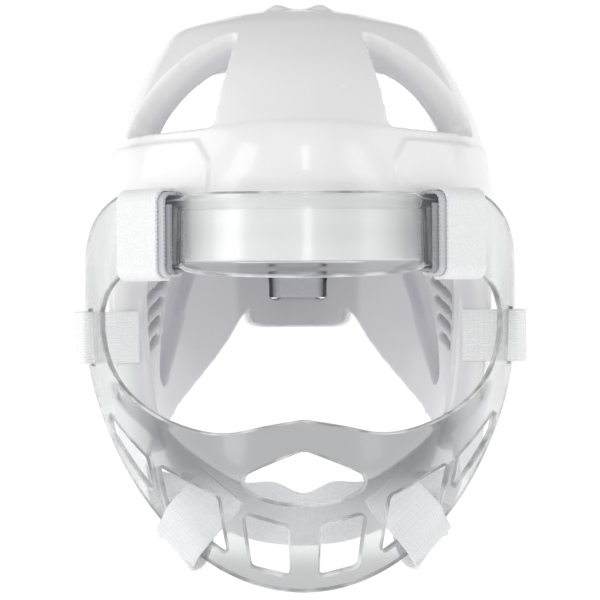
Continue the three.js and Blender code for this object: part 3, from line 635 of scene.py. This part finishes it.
def makeMask():
    top, bottom, tip = edgeCurve(mask["top"]), edgeCurve(mask["bottom"]), mask["tipRound"]
    tipRound = lambda a: tip * (1 - math.sqrt(1 - min(max((a - mask["armEnd"] + tip) / tip, 0), 1) ** 2))
    lower, upper = lambda a: bottom(a) + tipRound(a), lambda a: top(a) - tipRound(a)
    loops = [outlineBetween(lower, upper, mask["armEnd"], mask["outlineSteps"])]
    for hole in ("eye", "nose"):
        high, low = mask[hole + "Top"], mask[hole + "Bottom"]
        loops.append(outlineBetween(edgeCurve(low), edgeCurve(high), high[-1][0], mask[hole + "Steps"]))
    for side in (-1, 1):
        loops += [roundedWindow(window, mask["windowCorner"], side) for window in mask["windows"]]
        loops.append(roundedWindow(mask["slot"], mask["slotCorner"], side))
    plate = addPlate(loops)

    # cut it into small cells, finer where the bar bulges, so that it bends smoothly
    bar = mask["bar"]
    reach = (mask["armEnd"] + 1) * mask["perDegree"]
    upright = list(np.arange(-reach, reach, mask["cell"]))
    ends = np.arange(bar["fullTo"], bar["goneAt"] + 0.1, mask["fineCell"] / mask["perDegree"]) * mask["perDegree"]
    upright += list(ends) + list(-ends)
    level = list(np.arange(*mask["cutZ"], mask["cell"]))
    level += list(np.arange(bar["low"], bar["lowFull"], mask["fineCell"]))
    level += list(np.arange(bar["highFull"], bar["high"], mask["fineCell"]))
    bpy.ops.object.mode_set(mode="EDIT")
    bpy.ops.mesh.select_all(action="SELECT")
    bpy.ops.mesh.remove_doubles(threshold=mask["weld"])
    for cuts, normal in ((upright, (1, 0, 0)), (level, (0, 1, 0))):
        for cut in cuts:
            bpy.ops.mesh.select_all(action="SELECT")
            bpy.ops.mesh.bisect(plane_co=[cut / 1000 * axis for axis in normal], plane_no=normal)
    bpy.ops.mesh.select_all(action="SELECT")
    bpy.ops.mesh.remove_doubles(threshold=mask["weldCuts"])
    bpy.ops.object.mode_set(mode="OBJECT")
    print("plate cut", len(plate.data.polygons))

    rimFaces = [abs(face.normal.z) < mask["flatFace"] for face in plate.data.polygons]
    flat = pointsOf(plate) * 1000
    angle, z = flat[:, 0] / mask["perDegree"], flat[:, 1]
    # painted shade on the plastic, by angle and height
    addAttribute(plate, "paintedShade", paintedShadeAt(angle, z))
    movePoints(plate, toShared(maskSkin(angle, z, flat[:, 2] - mask["wall"] / 2, withBar=True)))
    bpy.ops.object.mode_set(mode="EDIT")
    bpy.ops.mesh.select_all(action="SELECT")
    bpy.ops.mesh.normals_make_consistent(inside=False)
    bpy.ops.object.mode_set(mode="OBJECT")
    plate.visible_shadow = False  # clear plastic lets the studio light through
    finishPiece(plate, "faceMask", ["face_mask"], maskPlastic, mask["sharpAngle"])
    # the trimmed edges get the frosted rim with its painted shade
    plate.data.materials.append(maskRim)
    plate.data.polygons.foreach_set("material_index", np.array(rimFaces, dtype=np.int32))


makeMask()

# straps: webbing laid along its route, its width running across it

strap = {"width": 25, "thick": 1.4, "lanes": 10, "edgeRound": 0.4, "edgeSteps": 2, "edgeAngle": 60,
         "sharpAngle": 50}


def addWebbing(name, node, route, across, width, thick, lanes=strap["lanes"], edge=None, material=webbing,
               strapShade=None):
    route = np.asarray(route, float)
    count = len(route) - 1
    bpy.ops.mesh.primitive_grid_add(x_subdivisions=count, y_subdivisions=lanes, size=1)
    piece = bpy.context.object
    flat = pointsOf(piece)
    row = np.rint((flat[:, 0] + 0.5) * count).astype(int)
    tangent = np.gradient(route, axis=0)
    tangent /= np.linalg.norm(tangent, axis=1, keepdims=True)
    across = np.broadcast_to(np.asarray(across, float), route.shape)
    across = across - tangent * np.sum(across * tangent, axis=1, keepdims=True)
    across /= np.linalg.norm(across, axis=1, keepdims=True)
    share = flat[:, 1]
    reach = share * width
    if edge is not None:
        reach = reach + edge(row, share)
    movePoints(piece, toShared(route[row] + across[row] * reach[:, None]))
    # painted shade along the strap
    if strapShade is not None:
        addAttribute(piece, "strapShade", np.broadcast_to(strapShade, len(route))[row])
    # the weave follows the strap: u along its length, v across it
    length = lengthAlong(route)
    layer = piece.data.uv_layers.active.data
    for corner in piece.data.loops:
        vertex = corner.vertex_index
        layer[corner.index].uv = (length[row[vertex]] / 1000, share[vertex] * width / 1000)
    applyModifier(piece, "SOLIDIFY", thickness=thick / 1000, offset=0)
    applyModifier(piece, "BEVEL", width=strap["edgeRound"] / 1000, segments=strap["edgeSteps"],
                  limit_method="ANGLE", angle_limit=math.radians(strap["edgeAngle"]))
    finishPiece(piece, name, [node], material, strap["sharpAngle"])


# wound from outside in, four corners to a turn: corner 0 begins at the back, and both ends run on a little
brow = {"angle": 39.8, "z": 30.5, "offset": -0.7, "deep": 7.1, "tall": 19.4, "corner": 5, "pitch": 1.75,
        "firstCorner": -3, "lastCorner": 6, "cornerSteps": 8, "begins": 1.6, "ends": 1.9,
        # each layer stands further in along the bar, and the inner ones get painted shade
        "shiftOut": 0.85, "shiftIn": 0.62, "shiftMiddle": 1.5, "strapShade": 0.9, "shadeCorners": (-1, 5),
        "step": 0.6, "tooth": 0.45, "toothRows": 3, "edgeLane": 0.49}


def makeBrowStrap(side, word):
    middle = maskSkin(side * brow["angle"], brow["z"], brow["offset"])
    out = maskSkin(side * brow["angle"], brow["z"], brow["offset"] + 1) - middle
    out = unit(out * (1, 1, 0))
    up = np.array([0, 0, 1.0])
    across = np.array([-out[1], out[0], 0])
    inwards = across if across[0] * side < 0 else -across
    deep, tall = brow["deep"] - brow["corner"], brow["tall"] - brow["corner"]  # the flat stretches' halves
    route, turns = [], []
    for corner in range(brow["firstCorner"], brow["lastCorner"]):
        for step in range(brow["cornerSteps"] + 1):
            turn = corner + step / brow["cornerSteps"]
            turns.append(turn)
            bend = brow["corner"] - brow["pitch"] * turn / 4
            behind = (1, -1, -1, 1)[corner % 4] * deep + bend * math.cos(turn * math.pi / 2)
            below = (1, 1, -1, -1)[corner % 4] * tall + bend * math.sin(turn * math.pi / 2)
            shift = brow["shiftOut"] if turn < brow["shiftMiddle"] else brow["shiftIn"]
            route.append(middle - out * behind - up * below + inwards * shift * (turn - brow["shiftMiddle"]))
    route.insert(0, route[0] - out * brow["begins"] * deep)
    route.append(route[-1] + up * brow["ends"] * tall)
    turns = [turns[0]] + turns + [turns[-1]]
    # even steps along the strap, so that its woven edge is even too
    route = np.array(route)
    length = lengthAlong(route)
    even = np.linspace(0, length[-1], round(length[-1] / brow["step"]) + 1)
    route = np.stack([np.interp(even, length, route[:, axis]) for axis in range(3)], 1)
    # painted shade on the inner coils, growing from outside in
    strapShade = brow["strapShade"] * ease(np.interp(even, length, turns), *brow["shadeCorners"])

    # the woven edge is a small sawtooth
    def tooth(row, share):
        nick = -np.sign(share) * brow["tooth"] * (np.abs(share) > brow["edgeLane"])
        return nick * (row % brow["toothRows"]) / (brow["toothRows"] - 1)

    addWebbing("browStrap." + word, "brow_strap_" + word, route, across, strap["width"], strap["thick"],
               edge=tooth, material=pile, strapShade=strapShade)


# shares of the way across the foam's front edge, then angle and offset from the mask's face: out through the
# arm's slot, round and back along the arm
cheek = {"z": -17.5, "faceSide": 71, "foamInner": -16.4, "clear": 1.5, "steps": 48, "onFoam": (0.3, 0.65, 1),
         "fold": [(71.9, -1.4), (71.4, 2.4), (72.6, 4.6), (76, 5.4), (82, 5), (88, 3.4), (93, 1.3)]}


def makeCheekStrap(side, word):
    z = cheek["z"]
    inner = guardSkin(side * cheek["faceSide"], z, cheek["foamInner"])
    outer = guardSkin(side * cheek["faceSide"], z)
    run = unit(outer - inner)
    forwards = np.array([-abs(run[1]) * side, -abs(run[0]), 0])
    places = [inner + (outer - inner) * share + forwards * cheek["clear"] for share in cheek["onFoam"]]
    places += [maskSkin(side * angle, z, offset) for angle, offset in cheek["fold"]]
    addWebbing("cheekStrap." + word, "cheek_strap_" + word, routeThrough(places, cheek["steps"]), (0, 0, 1),
               strap["width"], strap["thick"])


# angle, z, offset from the mask's face, twist
jaw = {
    # a little painted shade all over the strap
    "steps": 78, "strapShade": 0.14,
    "turnFrom": 0.4, "turnOver": 2.4,  # rows over which it turns from the flap to the margin
    "inside": [(83, -52, -10.8, 0), (75, -62, -9.8, 0), (62, -77.5, -12.6, -6), (50, -98, -15.8, -16),
               (43.6, -110.4, -6.2, -12)],
    "outside": [(42, -113.2, 0, -6), (41, -110.6, 4.2, 0), (37.2, -104.4, 3.8, 0), (34.2, -99.4, 3, 13),
                (32.4, -96.3, 0.4, 25), (31, -93.8, -2.6, 24), (29.6, -91.3, -6.3, 18), (28.2, -88.3, -8.4, 11),
                (26.2, -84, -9.2, 4)],
}


def makeJawStrap(side, word):
    rows = jaw["inside"] + jaw["outside"]
    onMask = lambda row, offset: maskSkin(side * row[0], row[1], offset)
    outAt = lambda row: onMask(row, 1) - onMask(row, 0)
    places = [onMask(row, row[2]) for row in rows]
    flap = unit(np.cross(places[0] - places[1], outAt(rows[0])))
    low, mid, high = jaw["outside"][1:4]
    axis = unit(onMask(high, high[2]) - onMask(low, low[2]))
    margin = unit(np.cross(axis, outAt(mid)))
    index = np.linspace(0, len(rows) - 1, jaw["steps"] + 1)
    twist = -side * np.radians(curveThrough(range(len(rows)), [row[3] for row in rows])(index))
    blend = np.clip((index - jaw["turnFrom"]) / jaw["turnOver"], 0, 1)[:, None]
    across = flap * (1 - blend) + margin * blend
    c, s = np.cos(twist)[:, None], np.sin(twist)[:, None]
    across = across * c + np.cross(axis, across) * s + axis * (across @ axis)[:, None] * (1 - c)
    addWebbing("jawStrap." + word, "jaw_strap_" + word, routeThrough(places, jaw["steps"]), across,
               strap["width"], strap["thick"], strapShade=jaw["strapShade"])


# x, y, z and lean of its width, from flap to middle
chin = {"width": 27, "thick": 1.6, "lanes": 12, "steps": 90, "ripple": 2.6, "pitch": 33, "reach": 34,
        # a little painted shade all over the strap, then how its width splays towards the flaps
        "strapShade": 0.18, "splay": 0.19, "splayX": (45, 66),
        "route": [(69.8, -9, -63, 0.6), (67.3, -21, -67, 0.6), (56.2, -42.2, -80.5, 0.45), (40, -61.5, -92, 0.3),
                  (20, -74, -98, 0.18), (0, -76.5, -99.5, 0.14)]}


def makeChinStrap():
    half = chin["route"]
    rows = [(-x, y, z, leanBack) for x, y, z, leanBack in half] + half[-2::-1]
    route = routeThrough([row[:3] for row in rows], chin["steps"])
    leanAt = curveThrough([row[0] for row in half[::-1]], [row[3] for row in half[::-1]])
    x = route[:, 0]
    splay = chin["splay"] * np.sign(x) * ease(np.abs(x), *chin["splayX"])
    across = np.stack([splay, -leanAt(np.abs(x)), 1 + 0 * x], 1)
    across /= np.linalg.norm(across, axis=1, keepdims=True)
    wave = -chin["ripple"] * np.cos(2 * math.pi * x / chin["pitch"]) * np.exp(-((x / chin["reach"]) ** 2))
    addWebbing("chinStrap", "chin_strap", route, across, chin["width"], chin["thick"], lanes=chin["lanes"],
               edge=lambda row, share: wave[row] * np.clip(share + 0.5, 0, 1) ** 2, material=pile,
               strapShade=chin["strapShade"])


# angle and offset from the foam, from one wing to the tongue's middle
rear = {"z": 14, "steps": 120, "strapShade": 0.4, "shadeAngle": (169.5, 171.5),
        "route": [(138, 1.2), (146, 1.2), (154, 1.2), (162, 1.3), (167.6, 1.8), (169.6, 1), (170.6, -1.4),
                  (170.8, -4), (170.8, -13.4), (171, -16), (172, -18.7), (174.4, -19.4), (180, -19)]}


def makeRearStrap():
    onFoam = lambda side: [guardSkin(side * angle, rear["z"], offset) for angle, offset in rear["route"]]
    route = routeThrough(onFoam(1) + onFoam(-1)[-2::-1], rear["steps"])
    # painted shade where the strap crosses the tongue
    addWebbing("rearStrap", "rear_strap", route, (0, 0, 1), strap["width"], strap["thick"], material=pile,
               strapShade=rear["strapShade"] * ease(angleOf(route), *rear["shadeAngle"]))


for side, word in ((-1, "right"), (1, "left")):
    makeBrowStrap(side, word)
    makeCheekStrap(side, word)
    makeJawStrap(side, word)
makeChinStrap()
makeRearStrap()
print("straps ready")

# studio: pale floor, soft lights, camera where the photograph was taken from

studio = {
    "floorSize": 9, "floorColor": (0.2, 0.2, 0.2), "floorDull": 0.98, "floorCloud": 3, "floorGlow": 0.89,
    "sky": 0.45,
    # seen from the guard: degrees round from the face, degrees up, distance, width, height, watts
    "lights": {
        "leftStrip": (-38, 4, 1.2, 0.26, 0.9, 1.9), "rightStrip": (38, 4, 1.2, 0.26, 0.9, 1.0),
        "leftSoft": (-78, 22, 1.4, 1.2, 1.2, 6.2), "rightSoft": (78, 22, 1.4, 1.2, 1.2, 3.6),
        "front": (3, 14, 1.4, 0.1, 0.4, 0.6), "frontSoft": (0, 28, 1.5, 0.9, 0.9, 1.3),
    },
    "distance": 0.95, "lens": 114, "yaw": 0.7,
}


# a place seen from the guard, round from the face and up
def studioPlace(turned, up, distance):
    turn, rise = math.radians(turned), math.radians(up)
    reach = 1000 * distance
    return Vector(toShared([(reach * math.sin(turn) * math.cos(rise), -reach * math.cos(turn) * math.cos(rise),
                             reach * math.sin(rise))])[0])


def makeStudio():
    bpy.ops.mesh.primitive_plane_add(size=studio["floorSize"])
    floor = bpy.context.object
    floor.name = "floor"
    material, tree, skin = newMaterial("paleFloor")
    place = addNode(tree, "ShaderNodeTexCoord").outputs["Object"]
    pale = studio["floorColor"]
    dull = tuple(studio["floorDull"] * channel for channel in pale)
    color = rampNode(tree, noiseNode(tree, place, studio["floorCloud"]), [(0.2, dull), (0.8, pale)])
    tree.links.new(color, skin.inputs["Base Color"])
    setInputs(skin, {"Roughness": 0.9, "Emission Color": (1, 1, 1, 1),
                     "Emission Strength": studio["floorGlow"]})
    floor.data.materials.append(material)

    world = bpy.data.worlds.new("studioSky")
    bpy.context.scene.world = world
    world.use_nodes = True
    setInputs(world.node_tree.nodes["Background"], {"Color": (1, 1, 1, 1), "Strength": studio["sky"]})

    middle = Vector(toShared([(0, 0, 0)])[0])
    for name, (turned, up, distance, width, height, watts) in studio["lights"].items():
        place = studioPlace(turned, up, distance)
        bpy.ops.object.light_add(type="AREA", location=place)
        light = bpy.context.object
        light.name = name
        light.data.shape = "RECTANGLE"
        light.data.size = width
        light.data.size_y = height
        light.data.energy = watts
        light.rotation_euler = (middle - place).to_track_quat("-Z", "Y").to_euler()

    eye = studioPlace(-studio["yaw"], 0, studio["distance"])
    bpy.ops.object.camera_add(location=eye, rotation=(middle - eye).to_track_quat("-Z", "Y").to_euler())
    camera = bpy.context.object
    camera.data.lens = studio["lens"]
    camera.data.sensor_width = 36
    camera.data.clip_start = 0.01
    bpy.context.scene.camera = camera
    bpy.context.scene.view_settings.view_transform = "Standard"


makeStudio()
print("studio ready")
